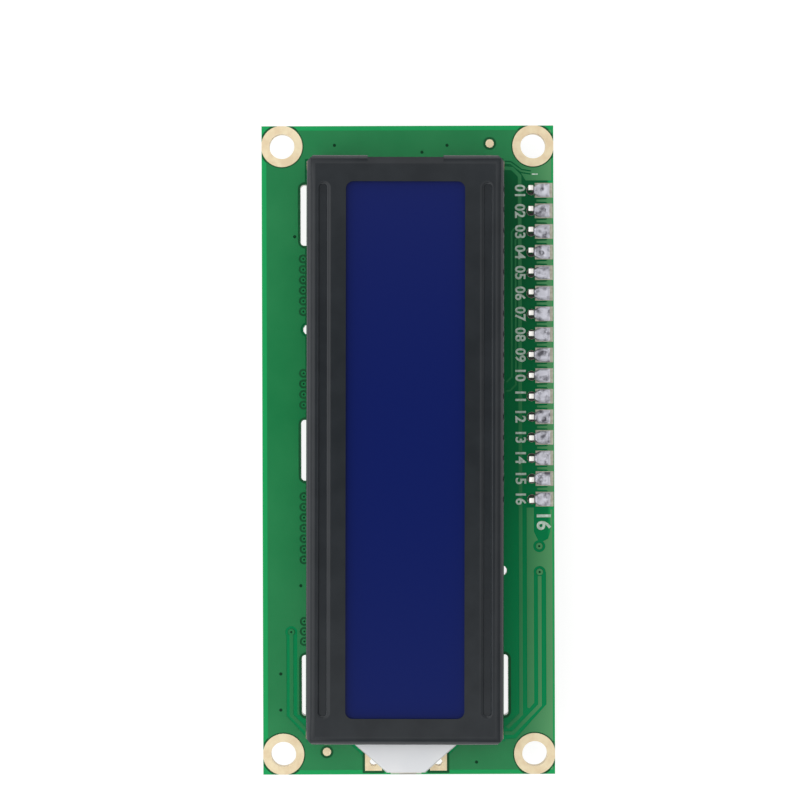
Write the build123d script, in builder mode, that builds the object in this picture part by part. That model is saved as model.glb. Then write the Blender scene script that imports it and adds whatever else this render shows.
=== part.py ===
# Character display module: a circuit board with a stamped bezel over a liquid crystal cell,
# an edge-lit backlight, a soldered pin header and the driver electronics on its back.
#
# Frame: +Z leaves the display face and z = 0 is the board's back face. X runs along the board
# with pin 1 at its low end, Y across it with the header at +Y. The origin is the centre of the
# four mounting holes. All sizes are in millimetres.
from build123d import *

import os
from math import atan2, cos, degrees, pi, radians, tan

os.makedirs("parts", exist_ok=True)

# Board
board_length = 80.0
board_width = 36.0
board_thickness = 1.6
hole_inset = 2.5
hole_diameter = 3.1
hole_land_diameter = 5.1
plating = 0.05
display_shift = -0.4

# Small round holes, lands and solder joints are drawn with this many straight sides, which
# keeps the many copies of them light
small_round_sides = 10

# Header: square pins in a plastic strip on the board's back
pin_count = 16
pin_pitch = 2.54
pin_width = 0.64
pin_tip_chamfer = 0.16
pin_long_end = 6.1
pin_short_end = 3.0
strip_height = 2.5
strip_width = 2.5
strip_notch = 0.45
pin_one_inset = 8.0
pin_row_inset = 2.75
pin_hole_diameter = 1.0
pin_land_width = 1.8
pin_ring_width = 0.07
pin_land_strip_start = 0.45
land_edge_gap = 0.1
solder_height = 0.45
solder_waist_height = 0.2
solder_waist_reach = 0.04
solder_foot_reach = 0.1
solder_pool_width = 1.5
solder_pool_height = 0.16
solder_pool_edge_gap = 0.45

# Bezel: one blackened steel sheet, bent down on four sides
bezel_end_inset = 4.25
bezel_width = 24.0
bezel_height = 7.0
sheet = 0.5
bend_inner_radius = 0.6
corner_relief = 0.15
window_end_border = 3.25
window_side_border = 4.8
window_corner_radius = 0.9
bead_overrun = 0.15
bead_width = 1.7
bead_inset = 2.05
bead_slope = 45.0
end_notch_width = 9.2
end_notch_depth = 0.3
tab_count = 3
tab_end_inset = 6.75
tab_width = 6.6
tab_twist = 6.0
tab_reach = 2.0
slot_end_clearance = 0.45
slot_far_clearance = 0.82
slot_header_clearance = 0.2
slot_last_clearance = 0.64
slot_inner_clearance = 0.36
slot_corner_radius = 0.45

# Plain holes between the bezel's tabs
tooling_hole_diameter = 1.3
tooling_hole_shift = 0.4
tooling_hole_proud = 0.14

# Liquid crystal cell and its contact strips
polarizer_thickness = 0.25
glass_thickness = 1.1
glass_clearance = 0.3
cell_gap = 0.05
seal_width = 1.0
ledge_width = 2.6
rear_glass_end_margin = 1.0
polarizer_margin = 1.2
contact_strip_width = 1.8
contact_strip_end_margin = 1.95

# Backlight
diffuser_thickness = 0.15
reflector_thickness = 0.1
guide_end_clearance = 1.25
guide_side_clearance = 0.65
tongue_tip_inset = 0.7
tongue_tip_wall = 0.36
tongue_clearance = 0.2
tongue_headroom = 0.3
cover_thickness = 0.1
cover_gap = 0.2
led_width = 3.8
led_depth = 1.2
led_height = 1.9
led_clearance = 0.1
led_proud = 0.34
led_land_length = 0.9
led_solder_reach = 0.2
lead_hole_spacing = 8.0
lead_hole_inset = 1.5
lead_hole_diameter = 1.0
lead_land_length = 2.1
lead_land_width = 2.1

# Bare copper marks beside the bezel's ends
mark_diameter = 1.05
mark_near_inset = 2.2
mark_far_inset = 2.8
mark_offset = 10.15

# Electronics on the back
die_side = 3.2
die_thickness = 0.4
dome_diameter = 15.0
dome_shoulder_diameter = 12.4
dome_crown_diameter = 6.4
dome_height = 1.6
dome_shoulder_height = 1.0
dome_spacing = 30.0
dome_shift = -1.5
chip_length = 2.0
chip_width = 1.25
resistor_height = 0.5
capacitor_height = 0.85
chip_cap_length = 0.4
chip_cap_proud = 0.03
chip_solder_reach = 0.45
chip_solder_height = 0.35
chip_pitch = 3.0
resistor_row_inset = 6.0
resistor_row_y = 7.6
resistor_count = 8
capacitor_row_y = -8.0
capacitor_count = 3

# Levels and lines that follow from the sizes above
board_top = board_thickness
land_top = board_top + plating
bezel_top = board_top + bezel_height
bend_outer_radius = bend_inner_radius + sheet
bezel_length = board_length - 2 * bezel_end_inset
inner_length = bezel_length - 2 * sheet
inner_width = bezel_width - 2 * sheet
corner_cut = 2 * sheet + corner_relief
window_length = bezel_length - 2 * window_end_border
window_width = bezel_width - 2 * window_side_border
bead_length = window_length + 2 * bead_overrun
bead_line = bezel_width / 2 - bead_inset
bead_depth = polarizer_thickness
bead_foot_width = bead_width + 2 * sheet * tan(radians(bead_slope / 2))
tab_spacing = (bezel_length - 2 * tab_end_inset) / (tab_count - 1)
tab_line = bezel_width / 2 - sheet / 2
slot_length = tab_width + 2 * slot_end_clearance

front_polarizer_base = bezel_top - sheet - polarizer_thickness
front_glass_base = front_polarizer_base - glass_thickness
seal_base = front_glass_base - cell_gap
rear_glass_base = seal_base - glass_thickness
rear_polarizer_base = rear_glass_base - polarizer_thickness
diffuser_base = rear_polarizer_base - diffuser_thickness
guide_base = board_top + reflector_thickness

front_glass_length = inner_length - 2 * glass_clearance
front_glass_width = inner_width - 2 * glass_clearance
rear_glass_length = front_glass_length - 2 * rear_glass_end_margin
rear_glass_width = front_glass_width - 2 * ledge_width
polarizer_length = window_length + 2 * polarizer_margin
polarizer_width = window_width + 2 * polarizer_margin

contact_strip_length = front_glass_length - 2 * contact_strip_end_margin

guide_length = inner_length - 2 * guide_end_clearance
guide_width = 2 * (bead_line - contact_strip_width / 2 - guide_side_clearance)
tongue_root = guide_length / 2
tongue_tip = board_length / 2 - tongue_tip_inset
tongue_tip_width = led_width + 2 * (led_clearance + tongue_tip_wall)
tongue_slope = (guide_width - tongue_tip_width) / 2 / (tongue_tip - tongue_root)
wall_inside = inner_length / 2
tongue_width_at_wall = guide_width - 2 * (wall_inside - tongue_root) * tongue_slope
tongue_notch_width = tongue_width_at_wall + 2 * tongue_clearance
tongue_notch_height = diffuser_base + cover_thickness + tongue_headroom - board_top
led_back = tongue_tip + led_proud
led_front = led_back - led_depth
lead_hole_x = board_length / 2 - lead_hole_inset
lead_barrel_radius = lead_hole_diameter / 2 + plating

barrel_radius = pin_hole_diameter / 2 + plating
pin_land_radius = barrel_radius + pin_ring_width
solder_waist_radius = pin_hole_diameter / 2 + solder_waist_reach
solder_foot_radius = pin_hole_diameter / 2 + solder_foot_reach
pin_row_y = board_width / 2 - pin_row_inset
pin_one_x = pin_one_inset - board_length / 2
pin_points = [(pin_one_x + i * pin_pitch, pin_row_y) for i in range(pin_count)]
strip_base = -strip_height
pin_base = strip_base - pin_short_end
pin_length = pin_short_end + strip_height + pin_long_end
strip_middle_x = pin_one_x + (pin_count - 1) * pin_pitch / 2
land_end_y = board_width / 2 - land_edge_gap
land_strip_length = land_end_y - pin_row_y - pin_land_strip_start

tooling_hole_offset = tab_spacing / 2 + tooling_hole_shift
tooling_line = tab_line + tooling_hole_proud
tooling_points = [
    (-tooling_hole_offset, display_shift - tooling_line),
    (tooling_hole_offset, display_shift + tooling_line),
]
# The slots reach further out on the far side, and beside the header only the last one is wide
tab_points = [(i - (tab_count - 1) / 2) * tab_spacing for i in range(tab_count)]
slots = [(x, -1, slot_far_clearance) for x in tab_points]
slots += [(x, 1, slot_header_clearance) for x in tab_points[:-1]]
slots += [(tab_points[-1], 1, slot_last_clearance)]
mark_points = [
    (mark_near_inset - board_length / 2, mark_offset),
    (board_length / 2 - mark_far_inset, -mark_offset),
]
resistor_x = board_length / 2 - resistor_row_inset
resistor_points = [(resistor_x - i * chip_pitch, resistor_row_y) for i in range(resistor_count)]
capacitor_points = [(i * chip_pitch, capacitor_row_y) for i in range(capacitor_count)]


def save(part, name):
    """Label a finished piece and write its file."""
    part.label = name
    export_step(part, f"parts/{name}.step")


# The bare board: fibreglass laminate under green solder mask, with every hole and slot
with BuildPart() as circuit_board:
    with BuildSketch(Plane.XY):
        Rectangle(board_length, board_width)
        with GridLocations(board_length - 2 * hole_inset, board_width - 2 * hole_inset, 2, 2):
            Circle(hole_diameter / 2 + plating, mode=Mode.SUBTRACT)
        with Locations(*pin_points):
            RegularPolygon(barrel_radius, small_round_sides, mode=Mode.SUBTRACT)
        with Locations(*tooling_points):
            RegularPolygon(tooling_hole_diameter / 2, small_round_sides, mode=Mode.SUBTRACT)
        with Locations((lead_hole_x, display_shift)):
            with GridLocations(0, lead_hole_spacing, 1, 2):
                RegularPolygon(lead_barrel_radius, small_round_sides, mode=Mode.SUBTRACT)
        with Locations((0, display_shift)):
            for x, side, clearance in slots:
                slot_width = slot_inner_clearance + sheet + clearance
                slot_line = tab_line + (clearance - slot_inner_clearance) / 2
                with Locations((x, side * slot_line)):
                    RectangleRounded(
                        slot_length, slot_width, slot_corner_radius, mode=Mode.SUBTRACT
                    )
    extrude(amount=board_thickness)
save(circuit_board.part, "circuit_board")


# A plated hole is a ring on each face joined by a thin barrel through the board. The rings are
# wider than the holes' distance from the edge, so the board's outline cuts them off
with BuildPart() as mounting_hole_platings:
    with GridLocations(board_length - 2 * hole_inset, board_width - 2 * hole_inset, 2, 2):
        with Locations((0, 0, board_thickness / 2)):
            Cylinder(hole_land_diameter / 2, board_thickness + 2 * plating)
    Box(board_length, board_width, 4 * board_thickness, mode=Mode.INTERSECT)
    with BuildSketch(Plane.XY):
        with GridLocations(board_length - 2 * hole_inset, board_width - 2 * hole_inset, 2, 2):
            Circle(hole_land_diameter)
            Circle(hole_diameter / 2 + plating, mode=Mode.SUBTRACT)
    extrude(amount=board_thickness, mode=Mode.SUBTRACT)
    with BuildSketch(Plane.XY.offset(-plating)):
        with GridLocations(board_length - 2 * hole_inset, board_width - 2 * hole_inset, 2, 2):
            Circle(hole_diameter / 2)
    extrude(amount=board_thickness + 2 * plating, mode=Mode.SUBTRACT)
save(mounting_hole_platings.part, "mounting_hole_platings")

# One header land: a narrow ring about the pin hole, a wide strip from it out to the board's
# edge, and the plated barrel down to the board's back
with BuildPart() as header_land:
    with BuildSketch(Plane.XY):
        RegularPolygon(barrel_radius, small_round_sides)
    extrude(amount=board_top)
    with BuildSketch(Plane.XY.offset(board_top)):
        RegularPolygon(pin_land_radius, small_round_sides)
        with Locations((0, pin_land_strip_start + land_strip_length / 2)):
            Rectangle(pin_land_width, land_strip_length)
    extrude(amount=plating)
    with BuildSketch(Plane.XY):
        RegularPolygon(pin_hole_diameter / 2, small_round_sides)
    extrude(amount=land_top, mode=Mode.SUBTRACT)

with BuildPart() as header_lands:
    with Locations(*pin_points):
        add(header_land.part)
save(header_lands.part, "header_lands")

# Two plated lead holes beside the backlight's tongue, left empty
with BuildPart() as backlight_lands:
    with BuildSketch(Plane.XY.offset(-plating)):
        with Locations((lead_hole_x, display_shift)):
            with GridLocations(0, lead_hole_spacing, 1, 2):
                Rectangle(lead_land_length, lead_land_width)
    extrude(amount=board_thickness + 2 * plating)
    with BuildSketch(Plane.XY):
        with Locations((lead_hole_x, display_shift)):
            with GridLocations(0, lead_hole_spacing, 1, 2):
                Rectangle(2 * lead_land_length, 2 * lead_land_width)
                RegularPolygon(lead_barrel_radius, small_round_sides, mode=Mode.SUBTRACT)
    extrude(amount=board_thickness, mode=Mode.SUBTRACT)
    with BuildSketch(Plane.XY.offset(-plating)):
        with Locations((lead_hole_x, display_shift)):
            with GridLocations(0, lead_hole_spacing, 1, 2):
                RegularPolygon(lead_hole_diameter / 2, small_round_sides)
    extrude(amount=board_thickness + 2 * plating, mode=Mode.SUBTRACT)
save(backlight_lands.part, "backlight_lands")

# Two bare round copper marks that the assembly machine sights on
with BuildPart() as registration_marks:
    with BuildSketch(Plane.XY.offset(board_top)):
        with Locations(*mark_points):
            RegularPolygon(mark_diameter / 2, small_round_sides)
    extrude(amount=plating)
save(registration_marks.part, "registration_marks")

# Header strip: one moulding with a V notch between pins where it snaps apart
with BuildPart() as header_strip:
    with BuildSketch(Plane.XY.offset(strip_base)):
        with Locations((strip_middle_x, pin_row_y)):
            Rectangle(pin_count * pin_pitch, strip_width)
        notch_side = strip_notch * 2**0.5
        with Locations((strip_middle_x, pin_row_y)):
            with GridLocations(pin_pitch, strip_width, pin_count + 1, 2):
                Rectangle(notch_side, notch_side, rotation=45, mode=Mode.SUBTRACT)
        with Locations(*pin_points):
            Rectangle(pin_width, pin_width, mode=Mode.SUBTRACT)
    extrude(amount=strip_height)
save(header_strip.part, "header_strip")

# Sixteen square pins, each cut from drawn wire with both ends swaged to a blunt point
for number, (pin_x, pin_y) in enumerate(pin_points, start=1):
    with BuildPart() as header_pin:
        with BuildSketch(Plane.XY.offset(pin_base)):
            with Locations((pin_x, pin_y)):
                Rectangle(pin_width, pin_width)
        extrude(amount=pin_length)
        pin_ends = header_pin.edges().group_by(Axis.Z)
        chamfer(pin_ends[0] + pin_ends[-1], pin_tip_chamfer)
    save(header_pin.part, f"header_pin_{number:02d}")

# One solder joint: the filled hole, a low hollow-sided cone about the pin and a thin pool on
# the land's strip
with BuildPart() as solder_joint:
    with BuildSketch(Plane.XY):
        RegularPolygon(pin_hole_diameter / 2, small_round_sides)
    extrude(amount=land_top)
    cone_levels = [
        (land_top, solder_foot_radius),
        (land_top + solder_waist_height, solder_waist_radius),
        (land_top + solder_height, pin_hole_diameter / 2),
    ]
    for (low, low_radius), (high, high_radius) in zip(cone_levels, cone_levels[1:]):
        side_lean = (low_radius - high_radius) * cos(pi / small_round_sides)
        with BuildSketch(Plane.XY.offset(low)):
            RegularPolygon(low_radius, small_round_sides)
        extrude(amount=high - low, taper=degrees(atan2(side_lean, high - low)))
    pool_end = board_width / 2 - solder_pool_edge_gap - pin_row_y
    with BuildSketch(Plane.XY.offset(land_top)):
        with Locations((0, (pin_land_strip_start + pool_end) / 2)):
            Rectangle(solder_pool_width, pool_end - pin_land_strip_start)
    extrude(amount=solder_pool_height, taper=45)
    with BuildSketch(Plane.XY):
        Rectangle(pin_width, pin_width)
    extrude(amount=land_top + solder_height, mode=Mode.SUBTRACT)

with BuildPart() as header_solder:
    with Locations(*pin_points):
        add(solder_joint.part)
save(header_solder.part, "header_solder")

# Bezel: a shallow tray with the window punched out, two long beads pressed in over the contact
# strips, open corners where the sides were bent down, and six tabs through the board. One end
# has a gap in its side, where the sheet runs on flat, and the other a low gap for the tongue
with BuildPart() as bezel:
    with BuildSketch(Plane.XY.offset(board_top)):
        with Locations((0, display_shift)):
            Rectangle(bezel_length, bezel_width)
    extrude(amount=bezel_height)
    fillet(bezel.faces().sort_by(Axis.Z)[-1].edges(), bend_outer_radius)
    with BuildSketch(Plane.XY.offset(board_top)):
        with Locations((0, display_shift)):
            Rectangle(inner_length, inner_width)
    extrude(amount=bezel_height - sheet, mode=Mode.SUBTRACT)
    inner_ceiling = bezel.faces().filter_by(Axis.Z).sort_by(Axis.Z)[-2]
    fillet(inner_ceiling.edges(), bend_inner_radius)
    with BuildSketch(Plane.XY.offset(board_top)):
        with Locations((0, display_shift)):
            with GridLocations(bezel_length, bezel_width, 2, 2):
                Rectangle(corner_cut * 2**0.5, corner_cut * 2**0.5, rotation=45)
    extrude(amount=bezel_height, mode=Mode.SUBTRACT)
    with BuildSketch(Plane.XY.offset(board_top)):
        with Locations((-bezel_length / 2, display_shift)):
            Rectangle(2 * bend_outer_radius, end_notch_width)
    extrude(amount=bezel_height, mode=Mode.SUBTRACT)
    notch_lip_reach = bend_outer_radius - end_notch_depth
    notch_lip_x = bend_outer_radius - notch_lip_reach / 2 - bezel_length / 2
    with BuildSketch(Plane.XY.offset(bezel_top - sheet)):
        with Locations((notch_lip_x, display_shift)):
            Rectangle(notch_lip_reach, end_notch_width)
    extrude(amount=sheet)
    with BuildSketch(Plane.XY.offset(board_top)):
        with Locations((bezel_length / 2, display_shift)):
            Rectangle(2 * bend_outer_radius, tongue_notch_width)
    extrude(amount=tongue_notch_height, mode=Mode.SUBTRACT)
    with BuildSketch(Plane.XY.offset(bezel_top - sheet)):
        with Locations((0, display_shift)):
            with GridLocations(0, 2 * bead_line, 1, 2):
                SlotOverall(bead_length + bead_foot_width - bead_width, bead_foot_width)
    extrude(amount=-bead_depth, taper=bead_slope)
    with BuildSketch(Plane.XY.offset(bezel_top)):
        with Locations((0, display_shift)):
            with GridLocations(0, 2 * bead_line, 1, 2):
                SlotOverall(bead_length, bead_width)
    extrude(amount=-bead_depth, taper=bead_slope, mode=Mode.SUBTRACT)
    with BuildSketch(Plane.XY.offset(bezel_top)):
        with Locations((0, display_shift)):
            RectangleRounded(window_length, window_width, window_corner_radius)
    extrude(amount=-sheet, mode=Mode.SUBTRACT)
    with BuildSketch(Plane.XY):
        with Locations((0, display_shift)):
            with GridLocations(tab_spacing, 2 * tab_line, tab_count, 2):
                Rectangle(tab_width, sheet)
    extrude(amount=board_top)
    for tab_place in GridLocations(tab_spacing, 2 * tab_line, tab_count, 2):
        tab_x = tab_place.position.X
        tab_y = tab_place.position.Y
        with BuildSketch(Plane.XY):
            with Locations((tab_x, tab_y + display_shift)):
                Rectangle(tab_width, sheet)
        with BuildSketch(Plane.XY.offset(-tab_reach)):
            with Locations((tab_x, tab_y + display_shift)):
                Rectangle(tab_width, sheet, rotation=tab_twist if tab_y > 0 else -tab_twist)
        loft(ruled=True)
save(bezel.part, "bezel")

# Liquid crystal cell: polarizers outside, two panes with the seal between them. The front pane
# is wider, and its two ledges face down onto the contact strips
with BuildPart() as front_polarizer:
    with BuildSketch(Plane.XY.offset(front_polarizer_base)):
        with Locations((0, display_shift)):
            Rectangle(polarizer_length, polarizer_width)
    extrude(amount=polarizer_thickness)
save(front_polarizer.part, "front_polarizer")

with BuildPart() as front_glass:
    with BuildSketch(Plane.XY.offset(front_glass_base)):
        with Locations((0, display_shift)):
            Rectangle(front_glass_length, front_glass_width)
    extrude(amount=glass_thickness)
save(front_glass.part, "front_glass")

with BuildPart() as cell_seal:
    with BuildSketch(Plane.XY.offset(seal_base)):
        with Locations((0, display_shift)):
            Rectangle(rear_glass_length, rear_glass_width)
            Rectangle(
                rear_glass_length - 2 * seal_width,
                rear_glass_width - 2 * seal_width,
                mode=Mode.SUBTRACT,
            )
    extrude(amount=cell_gap)
save(cell_seal.part, "cell_seal")

with BuildPart() as rear_glass:
    with BuildSketch(Plane.XY.offset(rear_glass_base)):
        with Locations((0, display_shift)):
            Rectangle(rear_glass_length, rear_glass_width)
    extrude(amount=glass_thickness)
save(rear_glass.part, "rear_glass")

with BuildPart() as rear_polarizer:
    with BuildSketch(Plane.XY.offset(rear_polarizer_base)):
        with Locations((0, display_shift)):
            Rectangle(polarizer_length, polarizer_width)
    extrude(amount=polarizer_thickness)
save(rear_polarizer.part, "rear_polarizer")

# Rubber contact strips carry the board's signals up to the glass ledges, right under the beads
for name, side in (("contact_strip_header_side", 1), ("contact_strip_far_side", -1)):
    with BuildPart() as contact_strip:
        with BuildSketch(Plane.XY.offset(board_top)):
            with Locations((0, display_shift + side * bead_line)):
                Rectangle(contact_strip_length, contact_strip_width)
        extrude(amount=front_glass_base - board_top)
    save(contact_strip.part, name)

# Edge-lit backlight: a clear guide whose tapered tongue comes out under the bezel to its lamp
with BuildPart() as light_guide:
    with BuildSketch(Plane.XY.offset(guide_base)):
        with Locations((0, display_shift)):
            Polygon(
                (-tongue_root, -guide_width / 2),
                (tongue_root, -guide_width / 2),
                (tongue_tip, -tongue_tip_width / 2),
                (tongue_tip, tongue_tip_width / 2),
                (tongue_root, guide_width / 2),
                (-tongue_root, guide_width / 2),
                align=None,
            )
    extrude(amount=diffuser_base - guide_base)
    pocket_front = led_front - led_clearance
    with BuildSketch(Plane.XY.offset(guide_base)):
        with Locations(((pocket_front + tongue_tip) / 2, display_shift)):
            Rectangle(tongue_tip - pocket_front, led_width + 2 * led_clearance)
    extrude(amount=land_top + led_height + led_clearance - guide_base, mode=Mode.SUBTRACT)
save(light_guide.part, "light_guide")

with BuildPart() as diffuser_film:
    with BuildSketch(Plane.XY.offset(diffuser_base)):
        with Locations((0, display_shift)):
            Rectangle(guide_length, guide_width)
    extrude(amount=diffuser_thickness)
save(diffuser_film.part, "diffuser_film")

with BuildPart() as reflector_film:
    reflector_end = lead_hole_x - lead_land_length / 2 - cover_gap
    reflector_end_width = guide_width - 2 * (reflector_end - tongue_root) * tongue_slope
    with BuildSketch(Plane.XY.offset(board_top)):
        with Locations((0, display_shift)):
            Polygon(
                (-tongue_root, -guide_width / 2),
                (tongue_root, -guide_width / 2),
                (reflector_end, -reflector_end_width / 2),
                (reflector_end, reflector_end_width / 2),
                (tongue_root, guide_width / 2),
                (-tongue_root, guide_width / 2),
                align=None,
            )
    extrude(amount=reflector_thickness)
save(reflector_film.part, "reflector_film")

# White film stuck on the tongue, from the end of the diffuser to the lamp
with BuildPart() as tongue_cover_film:
    cover_start = tongue_root + cover_gap
    cover_start_width = guide_width - 2 * cover_gap * tongue_slope
    with BuildSketch(Plane.XY.offset(diffuser_base)):
        with Locations((0, display_shift)):
            Polygon(
                (cover_start, -cover_start_width / 2),
                (tongue_tip, -tongue_tip_width / 2),
                (tongue_tip, tongue_tip_width / 2),
                (cover_start, cover_start_width / 2),
                align=None,
            )
    extrude(amount=cover_thickness)
save(tongue_cover_film.part, "tongue_cover_film")

# Side-firing lamp on the board's edge, in the pocket of the tongue, with a solder fillet behind
# each of its ends
with BuildPart() as backlight_led:
    with BuildSketch(Plane.XY.offset(land_top)):
        with Locations(((led_front + led_back) / 2, display_shift)):
            Rectangle(led_depth, led_width)
    extrude(amount=led_height)
    with BuildSketch(Plane.YZ.offset(led_front)):
        with Locations((display_shift, land_top + led_height / 2)):
            SlotOverall(led_width - 2 * led_land_length, led_height / 2)
    extrude(amount=led_clearance, mode=Mode.SUBTRACT)
save(backlight_led.part, "backlight_led")

with BuildPart() as backlight_led_solder:
    led_land_line = (led_width - led_land_length) / 2
    with BuildSketch(Plane.XY.offset(board_top)):
        with Locations(((led_front + led_back + led_solder_reach) / 2, display_shift)):
            with GridLocations(0, 2 * led_land_line, 1, 2):
                Rectangle(led_depth + led_solder_reach, led_land_length)
    extrude(amount=plating)
    for side in (-1, 1):
        with BuildSketch(Plane.XZ.offset(-display_shift - side * led_land_line)):
            with BuildLine():
                Polyline(
                    (led_back, land_top),
                    (led_back + led_solder_reach, land_top),
                    (led_back, land_top + led_height / 2),
                    close=True,
                )
            make_face()
        extrude(amount=led_land_length / 2, both=True)
save(backlight_led_solder.part, "backlight_led_solder")

# Driver electronics behind the board: two bare dies under domes of black epoxy
for name, side in (("controller", -1), ("driver", 1)):
    with BuildPart() as die:
        with BuildSketch(Plane.XY):
            with Locations((side * dome_spacing / 2, dome_shift)):
                Rectangle(die_side, die_side)
        extrude(amount=-die_thickness)
    save(die.part, f"{name}_die")

    dome_centre = (side * dome_spacing / 2, dome_shift, 0)
    with BuildPart() as epoxy_dome:
        with BuildSketch(Plane(dome_centre, x_dir=(1, 0, 0), z_dir=(0, -1, 0))):
            with BuildLine():
                Polyline(
                    (0, -dome_height),
                    (0, 0),
                    (dome_diameter / 2, 0),
                    (dome_shoulder_diameter / 2, -dome_shoulder_height),
                    (dome_crown_diameter / 2, -dome_height),
                    close=True,
                )
            make_face()
        revolve(axis=Axis(dome_centre, (0, 0, 1)))
        with BuildSketch(Plane.XY):
            with Locations((side * dome_spacing / 2, dome_shift)):
                Rectangle(die_side, die_side)
        extrude(amount=-die_thickness, mode=Mode.SUBTRACT)
    save(epoxy_dome.part, f"{name}_epoxy_dome")


def chip(name, centre, height):
    """A chip part on the back: a ceramic body with two slightly proud metal end caps."""
    with BuildPart() as body:
        with BuildSketch(Plane.XY):
            with Locations(centre):
                Rectangle(chip_width - 2 * chip_cap_proud, chip_length - 2 * chip_cap_length)
        extrude(amount=chip_cap_proud - height)
        with BuildSketch(Plane.XY):
            with Locations(centre):
                with GridLocations(0, chip_length - chip_cap_length, 1, 2):
                    Rectangle(chip_width, chip_cap_length)
        extrude(amount=-height)
    save(body.part, name)


for number, centre in enumerate(resistor_points, start=1):
    chip(f"resistor_{number}", centre, resistor_height)
for number, centre in enumerate(capacitor_points, start=1):
    chip(f"capacitor_{number}", centre, capacitor_height)

# A wedge of solder at both ends of every chip part
with BuildPart() as chip_solder:
    for chip_x, chip_y in resistor_points + capacitor_points:
        for side in (-1, 1):
            end_y = chip_y + side * chip_length / 2
            with BuildSketch(Plane.YZ.offset(chip_x)):
                with BuildLine():
                    Polyline(
                        (end_y, 0),
                        (end_y + side * chip_solder_reach, 0),
                        (end_y, -chip_solder_height),
                        close=True,
                    )
                make_face()
            extrude(amount=chip_width / 2, both=True)
save(chip_solder.part, "chip_solder")
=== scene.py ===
# %% [markdown]
# # A character display module
#
# The module is a green circuit board with a black pressed bezel over a blue display cell, a
# backlight whose tongue sticks out at one end, a soldered pin header and driver electronics
# behind. The solids come from the shared frame. This lesson gives each of them its finish and
# adds what a camera sees beyond them: copper under the green mask, printed numbers, solder that
# has flowed, and a bezel with pressed beads.

# %% Load the solids
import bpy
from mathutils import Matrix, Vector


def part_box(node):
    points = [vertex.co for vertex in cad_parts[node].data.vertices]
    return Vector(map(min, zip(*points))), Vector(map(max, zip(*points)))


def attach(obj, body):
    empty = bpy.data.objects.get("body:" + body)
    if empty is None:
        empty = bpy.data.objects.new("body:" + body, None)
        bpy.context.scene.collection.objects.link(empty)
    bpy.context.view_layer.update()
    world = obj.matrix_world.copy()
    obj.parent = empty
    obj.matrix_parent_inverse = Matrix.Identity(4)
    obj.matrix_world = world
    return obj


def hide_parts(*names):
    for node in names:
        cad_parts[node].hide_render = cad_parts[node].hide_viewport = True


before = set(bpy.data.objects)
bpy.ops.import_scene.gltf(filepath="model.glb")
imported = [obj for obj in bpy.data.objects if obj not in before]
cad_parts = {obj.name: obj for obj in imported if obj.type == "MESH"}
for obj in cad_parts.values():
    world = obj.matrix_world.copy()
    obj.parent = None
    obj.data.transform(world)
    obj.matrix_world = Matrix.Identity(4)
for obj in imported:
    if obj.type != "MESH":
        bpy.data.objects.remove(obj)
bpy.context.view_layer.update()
print("solids in the frame:", len(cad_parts))

# %% The rest of the tools
from math import cos, exp, pi, radians, sin
from random import Random

import bmesh
import bpy
from mathutils import Matrix, Vector

MM = 0.001
scene = bpy.context.scene

# %% [markdown]
# ## Sizes that every step shares
#
# The module is drawn in millimetres and shrunk to metres at the end of each step, because the
# maker's drawings are in millimetres too. X runs along the board, Y across it towards the
# header, and Z out of the display.

# %% Shared sizes in millimetres
BOARD_LENGTH = 80.0
BOARD_WIDTH = 36.0
BOARD_TOP = 1.6
MASK_RISE = 0.03
BEZEL_LENGTH = 71.5
BEZEL_WIDTH = 24.0
BEZEL_TOP = 8.6
SHEET = 0.5
DISPLAY_Y = -0.4
PIN_PITCH = 2.54
PIN_X = [-32.0 + PIN_PITCH * i for i in range(16)]
PIN_Y = 15.25
LAND_TOP = 1.65
print("board", BOARD_LENGTH, "x", BOARD_WIDTH, "mm, pins", len(PIN_X))

# %% [markdown]
# ## Small helpers for shapes
#
# A bmesh is a bench for one mesh. Each helper below leaves its shape on the bench in
# millimetres, and `add_piece` takes it off the bench, turns it to metres and hangs it on the
# module. Objects stay at the origin, so a pattern that follows Object coordinates never slides.

# %% Take a shape off the bench
def add_piece(name, shape, finish, stands_for=(), smooth_angle=None):
    """Make a bmesh drawn in millimetres a piece of the module."""
    bmesh.ops.scale(shape, vec=(MM, MM, MM), verts=shape.verts)
    mesh = bpy.data.meshes.new(name)
    shape.to_mesh(mesh)
    shape.free()
    mesh.materials.append(finish)
    if smooth_angle is not None:
        mesh.polygons.foreach_set("use_smooth", [True] * len(mesh.polygons))
        mesh.set_sharp_from_angle(angle=radians(smooth_angle))
    piece = bpy.data.objects.new(name, mesh)
    scene.collection.objects.link(piece)
    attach(piece, "root")
    if stands_for:
        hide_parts(*stands_for)
    print(name, len(mesh.polygons), "faces")
    return piece


# %% Walls, prisms, rings and blocks
def wall(shape, points, low, high):
    """An upright wall without thickness along a line of points."""
    verts = [shape.verts.new((x, y, low)) for x, y in points]
    edges = [shape.edges.new(pair) for pair in zip(verts, verts[1:])]
    raised = bmesh.ops.extrude_edge_only(shape, edges=edges)
    top = [v for v in raised["geom"] if isinstance(v, bmesh.types.BMVert)]
    bmesh.ops.translate(shape, vec=(0, 0, high - low), verts=top)


def prism(shape, outline, low, high):
    """A flat shape with upright sides, pulled up from its corner points."""
    face = shape.faces.new([shape.verts.new((x, y, low)) for x, y in outline])
    raised = bmesh.ops.extrude_face_region(shape, geom=[face], use_keep_orig=True)
    top = [v for v in raised["geom"] if isinstance(v, bmesh.types.BMVert)]
    bmesh.ops.translate(shape, vec=(0, 0, high - low), verts=top)


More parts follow.
